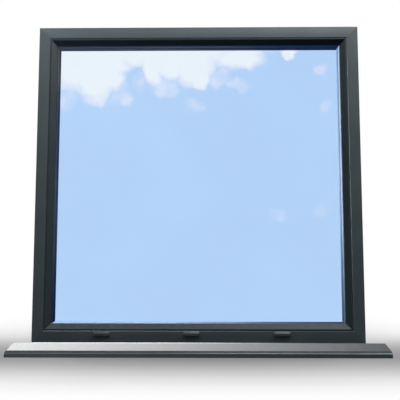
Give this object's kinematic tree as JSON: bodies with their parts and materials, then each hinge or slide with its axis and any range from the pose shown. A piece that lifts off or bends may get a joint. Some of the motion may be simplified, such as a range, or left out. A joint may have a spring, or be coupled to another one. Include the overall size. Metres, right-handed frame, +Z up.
{
  "type": "fixed aluminium window with sill",
  "caption": "Square fixed-light aluminium window: mitred thermally broken frame, bevelled glazing beads, sealed glass unit, drainage caps and a projecting sill.",
  "frame": {"origin": "underside of the sill, in the plane of the frame's outer face, midway along", "axes": "+X to the right seen from outside, +Y from the outside into the room, +Z up"},
  "size_m": [1.324, 0.1498, 1.196],
  "materials": {
    "frame_coating": "satin anthracite powder coating",
    "bead_coating": "satin anthracite powder coating",
    "thermal_break": "glass-filled polyamide",
    "gasket": "black EPDM",
    "outer_glass": "float glass with a pale blue sky reflection",
    "inner_glass": "clear float glass",
    "spacer": "satin grey spacer bar",
    "edge_seal": "dark polysulphide sealant",
    "setting_block": "matt moulded plastic",
    "drain_cap": "anthracite moulded plastic",
    "sill_coating": "satin anthracite powder coating",
    "sill_end_cap": "anthracite moulded plastic"
  },
  "bodies": {
    "root": {"bottom_outer_profile": "frame_coating", "bottom_inner_profile": "frame_coating", "bottom_thermal_break": "thermal_break", "bottom_bead": "bead_coating", "bottom_outer_gasket": "gasket", "bottom_inner_gasket": "gasket", "head_outer_profile": "frame_coating", "head_inner_profile": "frame_coating", "head_thermal_break": "thermal_break", "head_bead": "bead_coating", "head_outer_gasket": "gasket", "head_inner_gasket": "gasket", "left_outer_profile": "frame_coating", "left_inner_profile": "frame_coating", "left_thermal_break": "thermal_break", "left_bead": "bead_coating", "left_outer_gasket": "gasket", "left_inner_gasket": "gasket", "right_outer_profile": "frame_coating", "right_inner_profile": "frame_coating", "right_thermal_break": "thermal_break", "right_bead": "bead_coating", "right_outer_gasket": "gasket", "right_inner_gasket": "gasket", "outer_pane": "outer_glass", "inner_pane": "inner_glass", "spacer_bar": "spacer", "edge_seal": "edge_seal", "setting_block_left": "setting_block", "setting_block_right": "setting_block", "drain_cap_1": "drain_cap", "drain_cap_2": "drain_cap", "drain_cap_3": "drain_cap", "sill": "sill_coating", "sill_end_cap_left": "sill_end_cap", "sill_end_cap_right": "sill_end_cap"}
  },
  "joints": []
}
